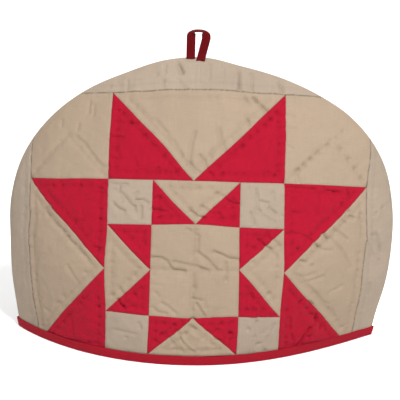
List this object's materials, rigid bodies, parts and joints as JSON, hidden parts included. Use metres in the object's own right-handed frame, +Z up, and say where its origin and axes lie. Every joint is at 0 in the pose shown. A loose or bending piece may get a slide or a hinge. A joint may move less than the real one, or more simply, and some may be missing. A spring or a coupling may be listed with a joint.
{
  "type": "quilted tea cosy",
  "caption": "Dome shaped quilted tea cosy with a pieced red and beige star front, plain back, red bound hem and a dark red tape loop on top.",
  "frame": {"origin": "bottom centre of the bounding box: on the surface that the hem stands on, in the plane of the dome seam", "axes": "+X to the right of someone who faces the pieced front, +Y from the front to the back, +Z up"},
  "size_m": [0.3383, 0.1524, 0.2756],
  "materials": {
    "patchwork_cotton": "matte plain weave, beige pieced with red",
    "plain_cotton": "matte plain weave",
    "binding_cotton": "matte plain weave",
    "loop_tape": "matte folded tape"
  },
  "bodies": {
    "root": {"front_panel": "patchwork_cotton", "back_panel": "plain_cotton", "hem_binding": "binding_cotton", "hanging_loop": "loop_tape"}
  },
  "joints": []
}
